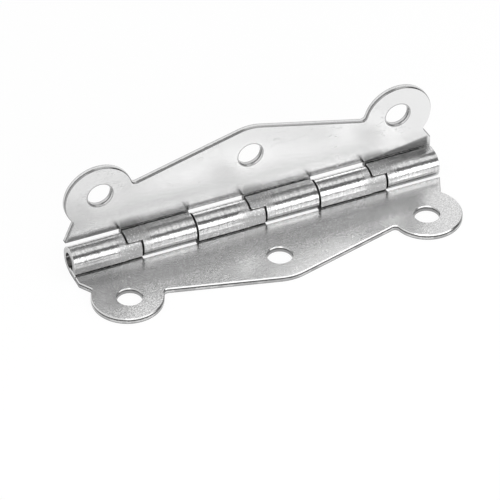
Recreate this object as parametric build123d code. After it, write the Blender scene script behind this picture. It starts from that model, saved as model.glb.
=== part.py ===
from build123d import *
import math
import os

os.makedirs("parts", exist_ok=True)

# Sizes in millimetres. X runs along the pin and Z is up.
# The front leaf lies on its back face, with the middle screw hole at the origin.
# The rear leaf stands at the stop.
length = 66.4
sheet = 1.0
barrel_r = 2.45
stop_deg = 90.0

# Leaf outline, as distances out from the pin axis and along it. The open neck has no knuckle beside it.
leaf_width = 16.3
slant_deg = 14.5
apex_r = 8.0
neck_d = 4.2
neck_deg = 33.0
open_neck_deg = 23.0
neck_r = 0.5

# Bevel that the punch leaves round the outline and the holes, as far in from the edge and down from the top.
bevel_in = 0.13
bevel_down = 0.2

# Screw holes and the round ears about the outer ones.
hole_r = 2.1
hole_row = 10.75
hole_from_end = 6.3
ear_r = 6.05
ear_outward = 0.15
ear_inward = 0.5
outer_notch_r = 0.8
inner_notch_r = 0.4

# Knuckles, in the order front, rear, front, rear, front, rear along X.
knuckles_per_leaf = 3
end_knuckle_trim = 0.1
knuckle_gap = 0.3
knuckle_rim_r = 0.12
seam_gap = 0.3
cutout_gap = 0.1
cutout_rim_r = 0.2

# Stop tabs on the free ends of the curls. Facing tabs meet half way between the leaves.
tab_zone = 2.6
tab_gap = 0.1
tab_corner_r = 0.4
root_gap = 0.4

# Pin.
pin_clearance = 0.05
pin_recess = 1.5
pin_chamfer = 0.25

# Values that follow from the sizes above.
half_length = length / 2
bore_r = barrel_r - sheet
pin_r = bore_r - pin_clearance
plate_top = sheet - barrel_r
free_end = plate_top + seam_gap
cutout_d = barrel_r + cutout_gap
hole_pitch = half_length - hole_from_end
ear_x = hole_pitch + ear_outward
ear_d = hole_row - ear_inward
slant = math.radians(slant_deg)
neck = math.radians(neck_deg)
open_neck = math.radians(open_neck_deg)
apex_d = leaf_width + apex_r * (1 / math.cos(slant) - 1)
knuckle_pitch = (length + 2 * end_knuckle_trim) / (2 * knuckles_per_leaf)

# How far cutting blocks run past what they cut, and how near a found edge has to be.
overrun = 1.0
near = 0.01


def knuckle_spans():
    """Start, end of the full curl, end of the tab and next start for each knuckle of a leaf."""
    spans = []
    for i in range(knuckles_per_leaf):
        first = i == 0
        last = i == knuckles_per_leaf - 1
        left = (2 * i - knuckles_per_leaf) * knuckle_pitch
        middle = left + knuckle_pitch
        right = middle + knuckle_pitch
        start = -half_length if first else left + knuckle_gap / 2
        step = middle - tab_zone / 2 - knuckle_gap / 2
        tab_end = step + tab_zone
        next_start = half_length + overrun if last else right + knuckle_gap / 2
        spans.append((start, step, tab_end, next_start))
    return spans


def along_ray(x, d, angle_x, angle_d):
    """Where a ray from x, d first meets the ear's circle, and where it is nearest the ear's centre."""
    to_centre = (ear_x - x) * angle_x + (ear_d - d) * angle_d
    miss = (ear_x - x) ** 2 + (ear_d - d) ** 2 - to_centre**2
    crossing = to_centre - math.sqrt(ear_r**2 - miss)
    points = []
    for travel in (crossing, to_centre):
        points.append((x + travel * angle_x, -(d + travel * angle_d)))
    return points


def mirrored(point):
    """The same point at the other end of the leaf."""
    return -point[0], point[1]


def upright_edges(solid, x, y):
    """Edges along Z that stand at x, y."""
    found = []
    for edge in solid.edges().filter_by(Axis.Z):
        middle = edge.center()
        if math.hypot(middle.X - x, middle.Y - y) < near:
            found.append(edge)
    return found


def block(x0, x1, y0, y1, z0, z1):
    """Box between two corners."""
    centre = Pos((x0 + x1) / 2, (y0 + y1) / 2, (z0 + z1) / 2)
    return centre * Box(x1 - x0, y1 - y0, z1 - z0)


def flat_blank():
    """Flat part of a leaf, with the pin axis on X and the leaf towards -Y, before its holes.

    Its first knuckle is at the left end, and its open neck is at the right end.
    """
    outer_notch, slant_end = along_ray(0, apex_d, math.cos(slant), -math.sin(slant))
    notch, neck_end = along_ray(half_length, neck_d, -math.sin(neck), math.cos(neck))
    open_notch, open_neck_end = along_ray(half_length, cutout_d, -math.sin(open_neck), math.cos(open_neck))
    neck_corner = (-half_length, -neck_d)
    past_cutout = half_length + overrun * math.tan(open_neck)
    left = [(-half_length, 0), neck_corner, mirrored(neck_end), mirrored(slant_end)]
    right = [slant_end, open_neck_end, (past_cutout, overrun - cutout_d), (past_cutout, 0)]
    outline = make_face(Polyline(left + [(0, -apex_d)] + right, close=True))
    for side in (-1, 1):
        outline += Pos(side * ear_x, -ear_d) * Circle(ear_r)
    blank = Pos(0, 0, -barrel_r) * extrude(outline, sheet)
    blank = fillet(upright_edges(blank, 0, -apex_d), apex_r)
    corners = [(outer_notch, outer_notch_r), (mirrored(outer_notch), outer_notch_r)]
    corners += [(open_notch, inner_notch_r), (mirrored(notch), inner_notch_r), (neck_corner, neck_r)]
    for (x, y), radius in corners:
        blank = fillet(upright_edges(blank, x, y), radius)
    top = blank.faces().sort_by(Axis.Z)[-1]
    rim = [edge for edge in top.edges() if edge.center().Y < -near]
    return chamfer(rim, bevel_in, bevel_down, reference=top)


def plate():
    """Flat part of a leaf with its screw holes, and cut out for the other leaf's knuckles."""
    body = flat_blank()
    for x in (-hole_pitch, 0, hole_pitch):
        body -= Pos(x, -hole_row, plate_top) * Cylinder(hole_r, 4 * sheet)
    top = body.faces().sort_by(Axis.Z)[-1]
    lips = []
    for edge in top.edges().filter_by(GeomType.CIRCLE):
        if abs(edge.radius - hole_r) < near:
            lips.append(edge)
    body = chamfer(lips, bevel_in, bevel_down, reference=top)
    floor = -barrel_r - overrun
    for start, step, tab_end, next_start in knuckle_spans():
        body -= block(tab_end, next_start, -cutout_d, overrun, floor, barrel_r)
        body -= block(step, tab_end, -root_gap / 2, overrun, floor, barrel_r)
    cutout_rims = []
    for edge in body.edges().filter_by(Axis.X):
        middle = edge.center()
        if abs(middle.Z - plate_top) < near and abs(middle.Y + cutout_d) < near:
            cutout_rims.append(edge)
    return fillet(cutout_rims, cutout_rim_r)


def polar(radius, angle):
    """Point of a section at an angle up from the leaf's own side."""
    return radius * math.cos(angle), radius * math.sin(angle)


def tip_outline():
    """Straight end of the curl, from the barrel's side down to the seam and back up the bore."""
    return Polyline((barrel_r, 0), (barrel_r, free_end), (bore_r, free_end), (bore_r, 0))


def curl_section():
    """Section of a curl: under the pin, up the far side, over the top and down to the leaf."""
    top = math.pi / 2
    outer = ThreePointArc((0, -barrel_r), (-barrel_r, 0), (0, barrel_r))
    outer_end = ThreePointArc((0, barrel_r), polar(barrel_r, top / 2), (barrel_r, 0))
    inner_end = ThreePointArc((bore_r, 0), polar(bore_r, top / 2), (0, bore_r))
    inner = ThreePointArc((0, bore_r), (-bore_r, 0), (0, -bore_r))
    root = Line((0, -bore_r), (0, -barrel_r))
    return make_face([outer, outer_end, tip_outline(), inner_end, inner, root])


def tab_section():
    """Section of a stop tab: the free end of a curl, up to half way between the leaves."""
    half = math.radians(stop_deg / 2)
    outer_angle = half - math.asin(tab_gap / 2 / barrel_r)
    inner_angle = half - math.asin(tab_gap / 2 / bore_r)
    outer_stop = polar(barrel_r, outer_angle)
    inner_stop = polar(bore_r, inner_angle)
    outer = ThreePointArc(outer_stop, polar(barrel_r, outer_angle / 2), (barrel_r, 0))
    inner = ThreePointArc((bore_r, 0), polar(bore_r, inner_angle / 2), inner_stop)
    return make_face([outer, tip_outline(), inner, Line(inner_stop, outer_stop)])


def along_pin(section, x0, x1):
    """Extrude a section, drawn as distance out from the pin and height, from x0 to x1."""
    plane = Plane(origin=(x1, 0, 0), x_dir=(0, -1, 0), z_dir=(-1, 0, 0))
    return extrude(plane * section, x1 - x0)


def on_outside(edge):
    """Is this edge on the outer face of a curl, round the pin or down its straight end?"""
    for share in (0.0, 0.5, 1.0):
        point = edge.position_at(share)
        on_straight_end = point.Y < -near and point.Z < 0
        out = -point.Y if on_straight_end else math.hypot(point.Y, point.Z)
        if abs(out - barrel_r) > near:
            return False
    return True


def curl(x0, x1):
    """Full curl from x0 to x1, with its outer rims rounded."""
    body = along_pin(curl_section(), x0, x1)
    rims = []
    for edge in body.edges():
        middle = edge.position_at(0.5)
        if min(abs(middle.X - x0), abs(middle.X - x1)) < near and on_outside(edge):
            rims.append(edge)
    return fillet(rims, knuckle_rim_r)


def stop_tab(x0, x1):
    """Stop tab from x0 to x1, with its free corner and outer rims rounded at x1."""
    body = along_pin(tab_section(), x0, x1)
    stop_face = body.faces().sort_by(Axis.Z)[-1]
    body = fillet(stop_face.edges().sort_by(Axis.X)[-1], tab_corner_r)
    rims = []
    for edge in body.edges():
        middle = edge.position_at(0.5)
        past_curl = middle.X > x0 + near
        on_side = edge.position_at(0.0).X < x1 - near and middle.Z < near
        if past_curl and not on_side and on_outside(edge):
            rims.append(edge)
    return fillet(rims, knuckle_rim_r)


def leaf():
    """One leaf with its knuckles and stop tabs, lying flat with the pin axis on X."""
    pieces = []
    for start, step, tab_end, next_start in knuckle_spans():
        pieces.append(curl(start, step))
        pieces.append(stop_tab(step - sheet, tab_end))
    return plate() + pieces


def hinge_pin():
    """Plain pin with chamfered ends, set back inside the open ends of the barrel."""
    pin = Cylinder(pin_r, length - 2 * pin_recess, rotation=(0, 90, 0))
    return chamfer(pin.edges().filter_by(GeomType.CIRCLE), pin_chamfer)


on_mounting_face = Pos(0, hole_row, barrel_r)
flat_leaf = leaf()
turned_leaf = Rot(X=180 - stop_deg) * Rot(Z=180) * flat_leaf

export_step(on_mounting_face * flat_leaf, "parts/front_leaf.step")
export_step(on_mounting_face * turned_leaf, "parts/rear_leaf.step")
export_step(on_mounting_face * hinge_pin(), "parts/hinge_pin.step")
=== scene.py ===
import math
from types import SimpleNamespace

import bpy
from mathutils import Matrix, Vector

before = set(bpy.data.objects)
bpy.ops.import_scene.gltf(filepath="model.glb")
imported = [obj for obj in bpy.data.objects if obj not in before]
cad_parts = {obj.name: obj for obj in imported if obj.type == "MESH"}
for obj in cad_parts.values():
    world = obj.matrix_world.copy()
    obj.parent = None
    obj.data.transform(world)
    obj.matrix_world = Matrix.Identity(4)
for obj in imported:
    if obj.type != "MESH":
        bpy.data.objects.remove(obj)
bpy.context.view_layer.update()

MM = 0.001
IN_MM = 1000.0

# Camera, fitted to the photograph's screw holes, leaf outlines and knuckle seams.
CAMERA_AT = Vector((-244.68, -538.14, 494.58)) * MM
CAMERA_FORWARD = Vector((0.31212, 0.70200, -0.64014))
CAMERA_ROLL_DEG = 0.40
CAMERA_LENS = 335.34
CAMERA_SENSOR = 36.0

# Below, a pair in brackets is the start and the end of a soft change.

# The barrel as the solids have it, and a leaf's knuckles along it: one starts at each step of the pitch.
PIN_Y_MM = 10.75
BARREL_R_MM = 2.45
FIRST_KNUCKLE_MM = 33.3
KNUCKLE_PITCH_MM = 22.2
SEAM_INSIDE_MM = (33.0, 32.8)
PLATE_OUT_MM = (2.47, 2.53)
BESIDE_PIN_MM = (2.8, 2.6)
ROOT_OUT_MM = (-0.6, 0.2)
ROOT_DEPTH_MM = (0.5, 0.1)

# Stop tabs: where they start and end along a knuckle, and which part of the curl they are.
TAB_START_MM = (7.25, 9.75)
TAB_END_MM = (12.65, 12.45)
TAB_OUT_MM = (-0.8, 0.4)
TAB_DEPTH_MM = (1.0, 1.2)
# Painted highlight along a tab's stop edge: how far from the edge it fades out, and how dull the tab is right
# at the edge.
TAB_STOP_MM = (0.15, 0.55)
TAB_DULL_AT_PAINTED_HIGHLIGHT = 0.1

# Screw holes: their places on a leaf, and the rings that take in the bevel and the lip on the face.
HOLE_PITCH_MM = 26.9
HOLE_ROW_MM = 10.75
HOLE_ZONE_MM = (2.5, 2.3)
HOLE_LIP_MM = (2.45, 2.3)

# Bright plating on the leaves, from the flat face to the cut edges, with the greys of painted shade and the
# whites of painted sheen among them.
PLATING = (0.80, 0.80, 0.80, 1.0)
PLATING_DULL = (0.64, 0.64, 0.64, 1.0)
PAINTED_BRIGHTNESS = (0.83, 0.83, 0.83, 1.0)
GLINT_AND_PAINTED_SHEEN = (0.97, 0.97, 0.97, 1.0)
PLATING_SPECK = (0.50, 0.50, 0.50, 1.0)
PAINTED_SHADE = (0.40, 0.40, 0.40, 1.0)
PAINTED_DEEP_SHADE = (0.10, 0.10, 0.10, 1.0)
TAB = (0.42, 0.42, 0.42, 1.0)
PLATING_RIM = (0.72, 0.72, 0.72, 1.0)
PLATING_SHOULDER = (0.30, 0.30, 0.30, 1.0)
PLATING_WALL = (0.82, 0.82, 0.82, 1.0)
SHEARED_WALL = (0.44, 0.44, 0.44, 1.0)
HOLE_SHADE = (0.30, 0.30, 0.30, 1.0)
FRACTURE_AND_SHADE = (0.10, 0.10, 0.10, 1.0)
FOOT = (0.30, 0.30, 0.30, 1.0)
SEAM_SHADE = (0.05, 0.05, 0.05, 1.0)

# Bare steel of the pin.
PIN_STEEL = (0.52, 0.51, 0.50, 1.0)
PIN_STEEL_DARK = (0.22, 0.21, 0.20, 1.0)
PIN_END_FACING = (0.5, 0.9)
PIN_END_DARK = 0.55
PIN_PIT_LEVELS = (0.55, 0.75)
PIN_ROUGH_LEVELS = (0.3, 0.7)
PIN_ROUGH = (0.30, 0.48)
PIN_BUMP_HEIGHT = 0.00001

# Each leaf. How it lies: the axis across its sheet with the place of its back face, the axis out from the
# pin with the place of the pin, and the way its knuckles run along X.
# How its plating looks: how its curls lean, roughness and grain, how much painted shade it has under the
# curls, how dull its tabs are, how dark its bevels and hole lips are, and how far its cut walls are sheared,
# fractured or dark below.
FRONT_LEAF = {
    "across": 2, "back_mm": 0.0, "across_sign": 1.0,
    "out": 1, "axis_mm": PIN_Y_MM, "out_sign": -1.0, "along_sign": 1.0,
    "curl_lean_deg": -1.5, "curl_rough": 0.165,
    "rough": 0.24, "smudge": 0.03, "grain": 0.9, "under": 1.0, "under_rough": 0.0, "tab": 1.0,
    "bevel": 0.0, "left_bevel": 0.0, "hole_bevel": 0.35, "hole_lip": 0.0,
    "sheared": 1.0, "top_wall": 1.0, "fracture": 1.0, "left_fracture": 1.0, "foot": 1.0,
}
REAR_LEAF = {
    "across": 1, "back_mm": 13.2, "across_sign": -1.0,
    "out": 2, "axis_mm": BARREL_R_MM, "out_sign": 1.0, "along_sign": -1.0,
    "curl_lean_deg": -5.0, "curl_rough": 0.19,
    "rough": 0.23, "smudge": 0.012, "grain": 0.12, "under": 0.1, "under_rough": 0.25, "tab": 0.7,
    "bevel": 0.55, "left_bevel": 0.85, "hole_bevel": 0.1, "hole_lip": 0.8,
    "sheared": 0.8, "top_wall": 0.1, "fracture": 0.35, "left_fracture": 0.8, "foot": 0.5,
}

# How strongly each mark shows.
CURL_GRAIN = 0.35
STROKE_DULL = 0.9
SMUDGE_DULL = 0.15
SPECK_SHARE = 0.8
TAB_GLINT_LOSS = 0.3
PATCH_LOSS = 0.45

# Levels of the noise patterns between which each mark comes up.
SPECK_LEVELS = (0.46, 0.60)
GLINT_LEVELS = (0.42, 0.32)
STROKE_LEVELS = (0.40, 0.66)
SMUDGE_LEVELS = (0.42, 0.68)
ROUGH_LEVELS = (0.35, 0.7)

# Which way a face looks, as X, Y or Z of its normal: parts of the curls, among them the lower fronts that get
# painted shade, walls and bevels at the left, right and top, and the upper walls of the holes with how deep
# their painted shade is below and there.
UNDER_FACING = (0.16, 0.0)
UNDER_FADE = (-0.75, -0.45)
UNDER_LEAST = 0.3
LOW_FACING = (0.02, -0.06)
LOW_FADE = (-0.30, -0.18)
LEAN_FORWARD = (-0.1, -0.5)
LEAN_UP = (-0.05, 0.25)
LEFT_FACING = (-0.05, -0.18)
RIGHT_FACING = (0.2, 0.4)
TOP_FACING = (0.3, 0.8)
HOLE_UP = (0.2, 0.8)
HOLE_SHADE_RANGE = (1.0, 0.3)

# What is added to the roughness by each mark, and the height of the grain.
SCRATCH_ROUGH = 0.10
FRACTURE_ROUGH = 0.22
TAB_ROUGH = 0.20
GRAIN_BUMP = 0.5
TAB_BUMP = 1.2
SCRATCH_BUMP = -0.25
RIPPLE_BUMP = 2.2
PLATING_BUMP_HEIGHT = 0.00002

# The cut edge: how squarely its faces look along the sheet's own normal, and depths up from the back face.
WALL_FACING = (0.35, 0.10)
BEVEL_STEEP = (0.35, 0.50)
BEVEL_FLAT = (0.95, 0.80)
ROLLED_FACING = (0.995, 0.90)
SEAM_FACING = (0.6, 0.9)
FRONT_FACE_MM = (0.85, 0.95)
FRACTURE_FROM_MM = (0.48, 0.56)
FRACTURE_TO_MM = (0.84, 0.80)
FOOT_MM = (0.24, 0.10)
RAGGED_MM = 0.3

# Painted shade on the rear leaf along its seams and along its first cutout, and a painted dark reflection in
# a wedge above its last knuckle.
REAR_SEAM_SHADE_OUT_MM = (5.0, 2.6)
REAR_SEAM_SHADE_X_MM = (-2.0, -9.0)
REAR_SEAM_SHADE_END_MM = (12.55, 12.25)
REAR_SEAM_SHADE = (0.4, 0.65)
STRIP_OUT_MM = (3.5, 3.1)
STRIP_X_MM = (-23.0, -24.0)
STRIP_SHADE = 0.6
WEDGE_SLOPE = 0.155
WEDGE_START_MM = -0.255
WEDGE_EDGE_MM = (0.2, -0.5)
WEDGE_FROM_MM = (20.4, 21.4)
WEDGE_TO_MM = (32.9, 32.3)
WEDGE_DARK_REFLECTION = 0.85

# Painted sheen that makes the right half of the rear leaf brighter.
REAR_SHEEN_X_MM = (-14.0, 0.0)
REAR_SHEEN_OUT_MM = (5.0, 6.5)

# The front leaf: painted shade on its left ear and in the band along it, painted reflections beside its
# knuckles and at its apex, and where its grain thins out.
EAR_SHADE_X_MM = (-22.0, -29.0)
EAR_SHADE_OUT_MM = (13.5, 10.5)
EAR_SHADE = 0.62
BAND_SHADE_FROM_MM = (5.0, 6.8)
BAND_SHADE_TO_MM = (10.0, 8.0)
BAND_SHADE_END_MM = (30.0, 25.0)
BAND_SHADE = 0.42
ROOT_SHEEN_OUT_MM = (5.8, 4.8)
ROOT_SHEEN = 0.7
APEX_SHEEN_X_MM = (17.0, 9.0)
APEX_SHEEN_OUT_MM = (9.0, 12.5)
APEX_SHEEN = 0.5
GRAIN_X_MM = (8.0, 24.0)
GRAIN_THIN = 0.6

# White floor. Under the barrel a painted shadow makes it show dimmer in the metal.
FLOOR_RADIUS = 3.0
FLOOR_CORNERS = 96
FLOOR_COLOUR = (0.9, 0.9, 0.9, 1.0)
FLOOR_GLOW_SEEN = 0.92
FLOOR_GLOW_REFLECTED = 1.0
FLOOR_GLOW_IN_PAINTED_SHADOW = 0.1
PAINTED_SHADOW_FROM_MM = (3.0, 6.0)
PAINTED_SHADOW_TO_MM = (16.0, 13.0)
WHITE = (1.0, 1.0, 1.0, 1.0)

# White studio. In the metal it has a dim gap, given by the angle up from the front and the side it is on.
STUDIO_REFLECTED = 0.95
STUDIO_AMBIENT = 0.85
GAP_DIMMING = 0.82
GAP_FROM_DEG = (-2.0, 4.0)
GAP_TO_DEG = (130.0, 112.0)
GAP_SIDE = (-0.35, -0.15)

# The front light as three cards side by side: place along X, width, lift and brightness.
FRONT_CARDS = [(-23.0, 72.0, 1.5, 1.5), (24.0, 22.0, 0.0, 1.75), (73.0, 76.0, -1.5, 1.95)]
CARD_Y_MM = -58.3
CARD_Z_MM = 37.6
CARD_HEIGHT_MM = 44.4
CARD_UP = Vector((0.0, 0.454, 0.891))
TOP_LIGHT_MM = (60.0, -8.0, 250.6)
TOP_LIGHT_SIZE_MM = (400.0, 122.0)
TOP_LIGHT_BRIGHTNESS = 0.85


def wire(tree, node, inputs):
    """Set or connect a node's inputs, each by its name or its place."""
    for key, value in inputs.items():
        socket = node.inputs[key]
        if isinstance(value, bpy.types.NodeSocket):
            tree.links.new(value, socket)
        else:
            socket.default_value = value
    return node


def add(tree, kind, inputs):
    """A new node with these inputs."""
    return wire(tree, tree.nodes.new(kind), inputs)


def calc(tree, operation, *values):
    """One step of arithmetic."""
    node = tree.nodes.new("ShaderNodeMath")
    node.operation = operation
    return wire(tree, node, dict(enumerate(values))).outputs[0]


def times(tree, first, *others):
    """Product of values."""
    for other in others:
        first = calc(tree, "MULTIPLY", first, other)
    return first


def most(tree, first, *others):
    """Largest of values."""
    for other in others:
        first = calc(tree, "MAXIMUM", first, other)
    return first


def rest_of(tree, mask):
    """What a mask leaves out."""
    return calc(tree, "SUBTRACT", 1.0, mask)


def ramp(tree, value, low, high, at_low=0.0, at_high=1.0):
    """Smooth step of a value from one level to another."""
    node = tree.nodes.new("ShaderNodeMapRange")
    node.interpolation_type = "SMOOTHSTEP"
    inputs = {"Value": value, "From Min": low, "From Max": high, "To Min": at_low, "To Max": at_high}
    return wire(tree, node, inputs).outputs["Result"]


def between(tree, share, first, second):
    """Mix of two values."""
    node = tree.nodes.new("ShaderNodeMix")
    node.data_type = "FLOAT"
    return wire(tree, node, {0: share, 2: first, 3: second}).outputs[0]


def blend(tree, share, first, second):
    """Mix of two colours."""
    node = tree.nodes.new("ShaderNodeMix")
    node.data_type = "RGBA"
    return wire(tree, node, {0: share, 6: first, 7: second}).outputs[2]


def parts_of(tree, vector):
    """X, Y and Z of a vector."""
    return add(tree, "ShaderNodeSeparateXYZ", {0: vector}).outputs


def stretched(tree, vector, factors):
    """Coordinates scaled by a factor along each axis."""
    node = tree.nodes.new("ShaderNodeVectorMath")
    node.operation = "MULTIPLY"
    return wire(tree, node, {0: vector, 1: factors}).outputs[0]


def noise(tree, vector, scale, detail=2.0, distortion=0.0):
    """Smooth random pattern about 1/scale in size."""
    inputs = {"Vector": vector, "Scale": scale, "Detail": detail, "Distortion": distortion}
    return add(tree, "ShaderNodeTexNoise", inputs).outputs["Fac"]


def bumped(tree, height, full_height, **more):
    """Normal of a bumpy surface."""
    inputs = {"Strength": 1.0, "Distance": full_height, "Height": height}
    return add(tree, "ShaderNodeBump", inputs | more).outputs[0]


def new_group(name, inputs, outputs):
    """An empty shader node group: its tree, the sockets it is given and the node that takes its results."""
    group = bpy.data.node_groups.new(name, "ShaderNodeTree")
    for label, kind in inputs:
        group.interface.new_socket(label, in_out="INPUT", socket_type=kind)
    for label in outputs:
        group.interface.new_socket(label, in_out="OUTPUT", socket_type="NodeSocketFloat")
    entry = group.nodes.new("NodeGroupInput")
    leave = group.nodes.new("NodeGroupOutput")
    return group, entry.outputs, leave


def use_group(tree, group, inputs):
    """Outputs of a node group with these inputs."""
    node = tree.nodes.new("ShaderNodeGroup")
    node.node_tree = group
    return wire(tree, node, inputs).outputs


def make_grain_group():
    """Marks of plated sheet, from places in metres: speckle, smudges, hair scratches, strokes and ripples of
    drawing, and patches."""
    outputs = ["Speckle", "Smudge", "Scratch", "Drawn", "Patch", "Ripple"]
    group, given, leave = new_group("plated_sheet_grain", [("Vector", "NodeSocketVector")], outputs)
    mm = stretched(group, given["Vector"], (IN_MM, IN_MM, IN_MM))
    across = noise(group, stretched(group, mm, (0.35, 1.6, 1.6)), 0.6, 2.0, 0.6)
    hair = calc(group, "ABSOLUTE", calc(group, "SUBTRACT", across, 0.5))
    here_and_there = ramp(group, noise(group, mm, 0.22), 0.52, 0.66)
    patterns = {
        "Speckle": noise(group, mm, 4.2, 1.0),
        "Smudge": noise(group, mm, 0.16, 3.0, 0.4),
        "Scratch": times(group, ramp(group, hair, 0.0, 0.012, 1.0, 0.0), here_and_there),
        "Drawn": noise(group, stretched(group, mm, (5.0, 0.3, 0.3)), 1.0, 2.0),
        "Patch": ramp(group, noise(group, mm, 0.45, 1.0), 0.46, 0.60),
        "Ripple": noise(group, stretched(group, mm, (2.4, 1.0, 1.0)), 0.9, 2.0),
    }
    wire(group, leave, patterns)
    return group


def make_edge_group():
    """Cut edge of the sheet: its bevel, its wall with a rough fracture line and a dark foot, and the seams.

    Curl is all that isn't flat plate, and Rolled is the rounded rim of a cutout.
    """
    labels = ["Depth", "Facing", "Sideways", "Out", "Ragged"]
    inputs = [(label, "NodeSocketFloat") for label in labels]
    outputs = ["Bevel", "Wall", "Fracture", "Foot", "Curl", "Seam", "Rolled"]
    group, given, leave = new_group("cut_edge", inputs, outputs)
    depth = given["Depth"]
    facing = given["Facing"]
    out = given["Out"]
    root = times(group, ramp(group, depth, *ROOT_DEPTH_MM), ramp(group, out, *ROOT_OUT_MM))
    plate = most(group, ramp(group, out, *PLATE_OUT_MM), root)
    wall = times(group, ramp(group, facing, *WALL_FACING), plate)
    bevel = times(group, ramp(group, facing, *BEVEL_FLAT), ramp(group, facing, *BEVEL_STEEP), plate)
    uneven = calc(group, "MULTIPLY_ADD", calc(group, "SUBTRACT", given["Ragged"], 0.5), RAGGED_MM, depth)
    line = times(group, ramp(group, uneven, *FRACTURE_FROM_MM), ramp(group, depth, *FRACTURE_TO_MM))
    beside_pin = ramp(group, out, *BESIDE_PIN_MM)
    masks = {
        "Bevel": bevel,
        "Wall": wall,
        "Fracture": times(group, line, wall),
        "Foot": times(group, ramp(group, uneven, *FOOT_MM), wall),
        "Curl": rest_of(group, plate),
        "Seam": times(group, ramp(group, given["Sideways"], *SEAM_FACING), beside_pin),
        "Rolled": times(group, ramp(group, facing, *ROLLED_FACING), beside_pin, plate),
    }
    wire(group, leave, masks)
    return group


def new_material(name):
    """An empty material with its shader, and the coordinates and normal of the object."""
    material = bpy.data.materials.new(name)
    material.use_nodes = True
    tree = material.node_tree
    tree.nodes.clear()
    shader = tree.nodes.new("ShaderNodeBsdfPrincipled")
    output = tree.nodes.new("ShaderNodeOutputMaterial")
    tree.links.new(shader.outputs[0], output.inputs["Surface"])
    place = tree.nodes.new("ShaderNodeTexCoord").outputs
    return material, tree, shader, place


def tab_mask(tree, sheet):
    """The stop tabs, which the forming tool left duller than the curls they end."""
    start = ramp(tree, sheet.knuckle, *TAB_START_MM)
    end = ramp(tree, sheet.knuckle, *TAB_END_MM)
    free_end = times(tree, ramp(tree, sheet.out, *TAB_OUT_MM), ramp(tree, sheet.depth, *TAB_DEPTH_MM))
    return times(tree, start, sheet.curl, end, free_end)


def read_sheet(tree, place, leaf, grain, edge):
    """What the plating of a leaf goes by at each point.

    In millimetres: x along the pin, out from it, depth up from the back face of the sheet, and knuckle along
    from the start of a knuckle. Then the normal, the marks of the sheet and the masks of its cut edge, its
    curls, its stop tabs and its face towards the other leaf.
    """
    position = parts_of(tree, place["Object"])
    sheet = SimpleNamespace(facing=parts_of(tree, place["Normal"]))
    sheet.x = times(tree, position[0], IN_MM)
    sign = leaf["out_sign"]
    sheet.out = calc(tree, "MULTIPLY_ADD", position[leaf["out"]], sign * IN_MM, -sign * leaf["axis_mm"])
    sign = leaf["across_sign"]
    sheet.depth = calc(tree, "MULTIPLY_ADD", position[leaf["across"]], sign * IN_MM, -sign * leaf["back_mm"])
    along = calc(tree, "ADD", times(tree, sheet.x, leaf["along_sign"]), FIRST_KNUCKLE_MM)
    sheet.knuckle = calc(tree, "FLOORED_MODULO", along, KNUCKLE_PITCH_MM)
    sheet.marks = use_group(tree, grain, {"Vector": place["Object"]})
    edge_inputs = {
        "Depth": sheet.depth,
        "Facing": calc(tree, "ABSOLUTE", sheet.facing[leaf["across"]]),
        "Sideways": calc(tree, "ABSOLUTE", sheet.facing[0]),
        "Out": sheet.out,
        "Ragged": sheet.marks["Speckle"],
    }
    sheet.cut = use_group(tree, edge, edge_inputs)
    sheet.curl = sheet.cut["Curl"]
    sheet.tab = tab_mask(tree, sheet)
    sheet.face = ramp(tree, sheet.depth, *FRONT_FACE_MM)
    sheet.plate_face = times(tree, sheet.face, rest_of(tree, sheet.curl))
    return sheet


def hole_masks(tree, sheet):
    """The screw holes with their bevels, and the thin lip round each on the face."""
    aside = calc(tree, "ABSOLUTE", sheet.x)
    from_outer = calc(tree, "ABSOLUTE", calc(tree, "SUBTRACT", aside, HOLE_PITCH_MM))
    aside = calc(tree, "MINIMUM", aside, from_outer)
    above = calc(tree, "SUBTRACT", sheet.out, HOLE_ROW_MM)
    squares = calc(tree, "ADD", times(tree, aside, aside), times(tree, above, above))
    zone = ramp(tree, squares, HOLE_ZONE_MM[0] ** 2, HOLE_ZONE_MM[1] ** 2)
    lip = ramp(tree, squares, HOLE_LIP_MM[0] ** 2, HOLE_LIP_MM[1] ** 2)
    return zone, lip


def under_shade_mask(tree, sheet):
    """The lower front of the curls beside the leaf, which gets painted shade."""
    up = sheet.facing[2]
    fade = ramp(tree, up, *UNDER_FADE, UNDER_LEAST, 1.0)
    return times(tree, ramp(tree, up, *UNDER_FACING), fade, sheet.curl)


def rear_painted_shade(tree, sheet):
    """Painted shade and a painted dark reflection on the rear leaf."""
    seams = times(
        tree,
        ramp(tree, sheet.out, *REAR_SEAM_SHADE_OUT_MM),
        ramp(tree, sheet.knuckle, *REAR_SEAM_SHADE_END_MM),
        ramp(tree, sheet.x, *REAR_SEAM_SHADE_X_MM, *REAR_SEAM_SHADE),
    )
    strip = ramp(tree, sheet.out, *STRIP_OUT_MM, 0.0, STRIP_SHADE)
    strip = times(tree, strip, ramp(tree, sheet.x, *STRIP_X_MM))
    top = calc(tree, "MULTIPLY_ADD", sheet.x, WEDGE_SLOPE, WEDGE_START_MM)
    wedge = times(
        tree,
        ramp(tree, calc(tree, "SUBTRACT", sheet.out, top), *WEDGE_EDGE_MM),
        ramp(tree, sheet.x, *WEDGE_FROM_MM),
        ramp(tree, sheet.x, *WEDGE_TO_MM, 0.0, WEDGE_DARK_REFLECTION),
    )
    return most(tree, seams, strip, wedge)


def rear_painted_sheen(tree, sheet):
    """Painted sheen on the right half of the rear leaf, away from its knuckles."""
    return times(tree, ramp(tree, sheet.x, *REAR_SHEEN_X_MM), ramp(tree, sheet.out, *REAR_SHEEN_OUT_MM))


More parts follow.
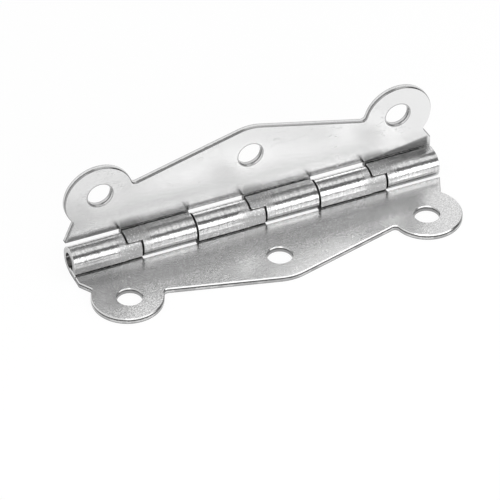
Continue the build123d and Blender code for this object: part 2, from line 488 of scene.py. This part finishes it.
def front_painted_shade(tree, sheet):
    """Painted shade on the front leaf."""
    ear = ramp(tree, sheet.x, *EAR_SHADE_X_MM, 0.0, EAR_SHADE)
    ear = times(tree, ear, ramp(tree, sheet.out, *EAR_SHADE_OUT_MM))
    band = times(tree, ramp(tree, sheet.out, *BAND_SHADE_FROM_MM), ramp(tree, sheet.out, *BAND_SHADE_TO_MM))
    band = times(tree, band, ramp(tree, sheet.x, *BAND_SHADE_END_MM, 0.0, BAND_SHADE))
    return most(tree, ear, band)


def front_painted_sheen(tree, sheet):
    """Painted reflections on the front leaf."""
    apex = ramp(tree, calc(tree, "ABSOLUTE", sheet.x), *APEX_SHEEN_X_MM)
    apex = times(tree, apex, ramp(tree, sheet.out, *APEX_SHEEN_OUT_MM, 0.0, APEX_SHEEN))
    return most(tree, apex, ramp(tree, sheet.out, *ROOT_SHEEN_OUT_MM, 0.0, ROOT_SHEEN))


def worked_colour(tree, leaf, sheet):
    """Colour of the plating with its strokes and smudges, painted shade under the curls, and dull tabs with a
    painted highlight along their stop edges.
    """
    strokes = times(tree, ramp(tree, sheet.marks["Drawn"], *STROKE_LEVELS), sheet.curl)
    smudges = times(tree, ramp(tree, sheet.marks["Smudge"], *SMUDGE_LEVELS), SMUDGE_DULL)
    dulled = calc(tree, "MULTIPLY_ADD", strokes, STROKE_DULL, smudges)
    colour = blend(tree, dulled, PLATING, PLATING_DULL)
    # Painted shade on the lower fronts of the curls.
    colour = blend(tree, times(tree, under_shade_mask(tree, sheet), leaf["under"]), colour, PAINTED_SHADE)
    # Painted highlight: near its stop edge a tab is painted less dull.
    above_pin = calc(tree, "SUBTRACT", sheet.depth, BARREL_R_MM)
    from_stop = times(tree, calc(tree, "SUBTRACT", sheet.out, above_pin), math.sqrt(0.5))
    dull_tab = times(tree, sheet.tab, ramp(tree, from_stop, *TAB_STOP_MM, TAB_DULL_AT_PAINTED_HIGHLIGHT, leaf["tab"]))
    return blend(tree, dull_tab, colour, TAB)


def grained_colour(tree, leaf, sheet, colour):
    """The colour it is given, with the dark specks and bright glints of the grain."""
    grain = between(tree, sheet.curl, leaf["grain"], CURL_GRAIN)
    if leaf is FRONT_LEAF:
        grain = times(tree, grain, ramp(tree, sheet.x, *GRAIN_X_MM, 1.0, GRAIN_THIN))
    grain = most(tree, grain, sheet.tab)
    specks = times(tree, grain, ramp(tree, sheet.marks["Speckle"], *SPECK_LEVELS), SPECK_SHARE)
    colour = blend(tree, specks, colour, PLATING_SPECK)
    off_tab = calc(tree, "MULTIPLY_ADD", sheet.tab, -TAB_GLINT_LOSS, 1.0)
    glints = times(tree, grain, ramp(tree, sheet.marks["Speckle"], *GLINT_LEVELS), off_tab)
    return blend(tree, glints, colour, GLINT_AND_PAINTED_SHEEN)


def placed_colour(tree, leaf, sheet, colour):
    """The colour it is given, with the painted reflections, sheen and shade on this leaf's face."""
    if leaf is FRONT_LEAF:
        # Painted reflections on the front leaf, at its apex and beside its knuckles.
        colour = blend(tree, times(tree, front_painted_sheen(tree, sheet), sheet.plate_face), colour, GLINT_AND_PAINTED_SHEEN)
        # Painted shade on the front leaf's left ear and in a band along it.
        return blend(tree, times(tree, front_painted_shade(tree, sheet), sheet.plate_face), colour, PAINTED_SHADE)
    # Painted sheen over the right half of the rear leaf.
    colour = blend(tree, times(tree, rear_painted_sheen(tree, sheet), sheet.face), colour, PAINTED_BRIGHTNESS)
    # Painted shade along the rear leaf's seams and first cutout, and a painted dark reflection in a wedge
    # above its last knuckle.
    return blend(tree, times(tree, rear_painted_shade(tree, sheet), sheet.plate_face), colour, PAINTED_DEEP_SHADE)


def edged_colour(tree, leaf, sheet, colour):
    """The colour it is given, with the bevels and cut walls over it, and painted shade in the screw holes, on
    the rims of the cutouts beside the pin and in the seams between knuckles.
    """
    cut = sheet.cut
    hole, lip = hole_masks(tree, sheet)
    # Painted shade in the screw holes, deepest on walls that don't face up.
    hole_shade = times(tree, hole, ramp(tree, sheet.facing[2], *HOLE_UP, *HOLE_SHADE_RANGE))
    left = ramp(tree, sheet.facing[0], *LEFT_FACING)
    right = ramp(tree, sheet.facing[0], *RIGHT_FACING)
    colour = blend(tree, times(tree, lip, leaf["hole_lip"]), colour, PLATING_SHOULDER)

    shoulder = most(tree, between(tree, left, leaf["bevel"], leaf["left_bevel"]), right)
    shoulder = between(tree, hole, shoulder, leaf["hole_bevel"])
    colour = blend(tree, cut["Bevel"], colour, blend(tree, shoulder, PLATING_RIM, PLATING_SHOULDER))

    sheared = ramp(tree, sheet.facing[2], *TOP_FACING, leaf["sheared"], leaf["top_wall"])
    patches = times(tree, sheared, sheet.marks["Patch"])
    patched = calc(tree, "MULTIPLY_ADD", patches, -PATCH_LOSS, sheared)
    wall = blend(tree, hole_shade, blend(tree, patched, PLATING_WALL, SHEARED_WALL), HOLE_SHADE)
    colour = blend(tree, cut["Wall"], colour, wall)
    colour = blend(tree, times(tree, cut["Foot"], leaf["foot"]), colour, FOOT)
    fractured = between(tree, left, leaf["fracture"], leaf["left_fracture"])
    fractured = most(tree, fractured, sheared, hole_shade)
    colour = blend(tree, times(tree, cut["Fracture"], fractured), colour, FRACTURE_AND_SHADE)

    # Painted shade: the rounded rims of the cutouts beside the pin are painted dark.
    colour = blend(tree, cut["Rolled"], colour, FRACTURE_AND_SHADE)
    # Painted shade in the seams between knuckles: their end faces inside the barrel are painted near black.
    inside = ramp(tree, calc(tree, "ABSOLUTE", sheet.x), *SEAM_INSIDE_MM)
    return blend(tree, times(tree, cut["Seam"], inside), colour, SEAM_SHADE)


def plating_roughness(tree, leaf, sheet):
    """Roughness of the plating, with its smudges, scratches, fractures and tabs."""
    smudged = leaf["rough"] + leaf["smudge"]
    rough = ramp(tree, sheet.marks["Smudge"], *ROUGH_LEVELS, leaf["rough"], smudged)
    up = sheet.facing[2]
    low = times(tree, ramp(tree, up, *LOW_FACING), ramp(tree, up, *LOW_FADE), sheet.curl)
    extras = [
        (sheet.curl, leaf["curl_rough"] - leaf["rough"]),
        (sheet.marks["Scratch"], SCRATCH_ROUGH),
        (sheet.cut["Fracture"], FRACTURE_ROUGH),
        (sheet.tab, TAB_ROUGH),
        (low, leaf["under_rough"]),
    ]
    for mask, more in extras:
        rough = calc(tree, "MULTIPLY_ADD", mask, more, rough)
    return rough


def plating_normal(tree, leaf, sheet):
    """Bumps of the grain, scratches and ripples, on curls that lean a little, as rolled sheet does."""
    steep = calc(tree, "MULTIPLY_ADD", sheet.tab, TAB_BUMP, GRAIN_BUMP)
    height = times(tree, sheet.marks["Speckle"], steep)
    height = calc(tree, "MULTIPLY_ADD", sheet.marks["Scratch"], SCRATCH_BUMP, height)
    ripples = times(tree, sheet.marks["Ripple"], sheet.curl)
    height = calc(tree, "MULTIPLY_ADD", ripples, RIPPLE_BUMP, height)
    forward = ramp(tree, sheet.facing[1], *LEAN_FORWARD)
    upward = ramp(tree, sheet.facing[2], *LEAN_UP)
    angle = times(tree, sheet.curl, forward, upward, math.radians(leaf["curl_lean_deg"]))
    lean = tree.nodes.new("ShaderNodeVectorRotate")
    lean.rotation_type = "X_AXIS"
    surface = tree.nodes.new("ShaderNodeNewGeometry").outputs["Normal"]
    leaning = wire(tree, lean, {"Vector": surface, "Angle": angle}).outputs[0]
    return bumped(tree, height, PLATING_BUMP_HEIGHT, Normal=leaning)


def plating_material(name, grain, edge, leaf):
    """Bright plating for one leaf, as its table says."""
    material, tree, shader, place = new_material(name)
    sheet = read_sheet(tree, place, leaf, grain, edge)
    colour = worked_colour(tree, leaf, sheet)
    for step in (grained_colour, placed_colour, edged_colour):
        colour = step(tree, leaf, sheet, colour)
    rough = plating_roughness(tree, leaf, sheet)
    normal = plating_normal(tree, leaf, sheet)
    wire(tree, shader, {"Base Color": colour, "Metallic": 1.0, "Roughness": rough, "Normal": normal})
    return material


def pin_material():
    """Drawn steel wire with a sheared end, dulled by oil inside the barrel."""
    material, tree, shader, place = new_material("pin_wire")
    mm = stretched(tree, place["Object"], (IN_MM, IN_MM, IN_MM))
    lines = noise(tree, stretched(tree, mm, (0.15, 4.0, 4.0)), 1.2, 3.0)
    pits = noise(tree, mm, 2.5, 4.0)
    sideways = calc(tree, "ABSOLUTE", parts_of(tree, place["Normal"])[0])
    end = ramp(tree, sideways, *PIN_END_FACING)
    dark = most(tree, ramp(tree, pits, *PIN_PIT_LEVELS), times(tree, end, PIN_END_DARK))
    colour = blend(tree, dark, PIN_STEEL, PIN_STEEL_DARK)
    rough = ramp(tree, pits, *PIN_ROUGH_LEVELS, *PIN_ROUGH)
    height = calc(tree, "ADD", lines, times(tree, pits, end))
    normal = bumped(tree, height, PIN_BUMP_HEIGHT)
    wire(tree, shader, {"Base Color": colour, "Metallic": 1.0, "Roughness": rough, "Normal": normal})
    return material


def dress(node_name, material):
    """Give a CAD node this material."""
    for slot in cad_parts[node_name].material_slots:
        slot.material = material


def make_floor():
    """Round white floor that keeps a soft shadow, with a painted shadow under the barrel that shows in the
    metal.
    """
    bpy.ops.mesh.primitive_circle_add(vertices=FLOOR_CORNERS, radius=FLOOR_RADIUS, fill_type="NGON")
    floor = bpy.context.object
    floor.name = "floor"
    material = bpy.data.materials.new("floor_white")
    material.use_nodes = True
    tree = material.node_tree
    tree.nodes.clear()
    output = tree.nodes.new("ShaderNodeOutputMaterial")
    lit = add(tree, "ShaderNodeBsdfDiffuse", {"Color": FLOOR_COLOUR})
    glow = add(tree, "ShaderNodeEmission", {"Color": WHITE, "Strength": 1.0})
    path = tree.nodes.new("ShaderNodeLightPath").outputs
    seen = most(tree, path["Is Camera Ray"], path["Is Transmission Ray"])
    place = tree.nodes.new("ShaderNodeTexCoord").outputs["Object"]
    y = times(tree, parts_of(tree, place)[1], IN_MM)
    # A painted shadow on the floor under the barrel, seen only in the metal.
    painted_shadow = times(tree, ramp(tree, y, *PAINTED_SHADOW_FROM_MM), ramp(tree, y, *PAINTED_SHADOW_TO_MM))
    level = ramp(tree, painted_shadow, 0.0, 1.0, FLOOR_GLOW_REFLECTED, FLOOR_GLOW_IN_PAINTED_SHADOW)
    reflected = times(tree, path["Is Glossy Ray"], level)
    share = calc(tree, "MULTIPLY_ADD", seen, FLOOR_GLOW_SEEN, reflected)
    mixed = add(tree, "ShaderNodeMixShader", {0: share, 1: lit.outputs[0], 2: glow.outputs[0]})
    tree.links.new(mixed.outputs[0], output.inputs["Surface"])
    floor.data.materials.append(material)


def make_world():
    """White studio with a dim gap above the front light."""
    world = bpy.data.worlds.new("studio")
    bpy.context.scene.world = world
    world.use_nodes = True
    tree = world.node_tree
    tree.nodes.clear()
    output = tree.nodes.new("ShaderNodeOutputWorld")
    direction = parts_of(tree, tree.nodes.new("ShaderNodeTexCoord").outputs["Generated"])
    angle = calc(tree, "ARCTAN2", direction[2], times(tree, direction[1], -1.0))
    degrees = times(tree, angle, 180.0 / math.pi)
    gap = times(tree, ramp(tree, degrees, *GAP_FROM_DEG), ramp(tree, degrees, *GAP_TO_DEG))
    gap = times(tree, gap, ramp(tree, direction[0], *GAP_SIDE))
    shade = calc(tree, "MULTIPLY_ADD", gap, -GAP_DIMMING, STUDIO_REFLECTED)
    path = tree.nodes.new("ShaderNodeLightPath").outputs
    shown = most(tree, path["Is Camera Ray"], path["Is Transmission Ray"])
    bare = add(tree, "ShaderNodeBackground", {"Color": WHITE, "Strength": 1.0})
    reflected = add(tree, "ShaderNodeBackground", {"Color": WHITE, "Strength": shade})
    ambient = add(tree, "ShaderNodeBackground", {"Color": WHITE, "Strength": STUDIO_AMBIENT})
    light = {0: path["Is Glossy Ray"], 1: ambient.outputs[0], 2: reflected.outputs[0]}
    lit = add(tree, "ShaderNodeMixShader", light)
    mixed = add(tree, "ShaderNodeMixShader", {0: shown, 1: lit.outputs[0], 2: bare.outputs[0]})
    tree.links.new(mixed.outputs[0], output.inputs["Surface"])


def make_softbox(name, centre_mm, width_mm, height_mm, radiance):
    """Soft rectangular lamp that looks straight at the barrel. It shows in metal and not to the camera."""
    data = bpy.data.lights.new(name, "AREA")
    data.shape = "RECTANGLE"
    data.size = width_mm * MM
    data.size_y = height_mm * MM
    data.energy = radiance * math.pi * data.size * data.size_y
    lamp = bpy.data.objects.new(name, data)
    bpy.context.scene.collection.objects.link(lamp)
    lamp.location = Vector(centre_mm) * MM
    barrel_mm = Vector((centre_mm[0], PIN_Y_MM, BARREL_R_MM))
    towards = (barrel_mm - Vector(centre_mm)).normalized()
    lamp.rotation_euler = towards.to_track_quat("-Z", "Y").to_euler()
    lamp.visible_camera = False


def make_lights():
    """Front cards, side by side, and a wide light above."""
    for card, (x_mm, width_mm, lift_mm, radiance) in enumerate(FRONT_CARDS):
        centre_mm = Vector((x_mm, CARD_Y_MM, CARD_Z_MM)) + lift_mm * CARD_UP
        make_softbox(f"front_card_{card}", centre_mm, width_mm, CARD_HEIGHT_MM, radiance)
    make_softbox("top_softbox", TOP_LIGHT_MM, *TOP_LIGHT_SIZE_MM, TOP_LIGHT_BRIGHTNESS)


def make_camera():
    """Camera at the photograph's angle."""
    data = bpy.data.cameras.new("camera")
    data.sensor_width = CAMERA_SENSOR
    data.lens = CAMERA_LENS
    data.clip_start = 0.01
    data.clip_end = 20.0
    camera = bpy.data.objects.new("camera", data)
    bpy.context.scene.collection.objects.link(camera)
    level = CAMERA_FORWARD.to_track_quat("-Z", "Y").to_matrix()
    turned = level @ Matrix.Rotation(math.radians(CAMERA_ROLL_DEG), 3, "Z")
    camera.matrix_world = Matrix.Translation(CAMERA_AT) @ turned.to_4x4()
    bpy.context.scene.camera = camera


bpy.context.scene.view_settings.view_transform = "Standard"
make_camera()

grain_group = make_grain_group()
edge_group = make_edge_group()
dress("front_leaf", plating_material("plating_front", grain_group, edge_group, FRONT_LEAF))
dress("rear_leaf", plating_material("plating_rear", grain_group, edge_group, REAR_LEAF))
dress("hinge_pin", pin_material())

make_floor()
make_world()
make_lights()
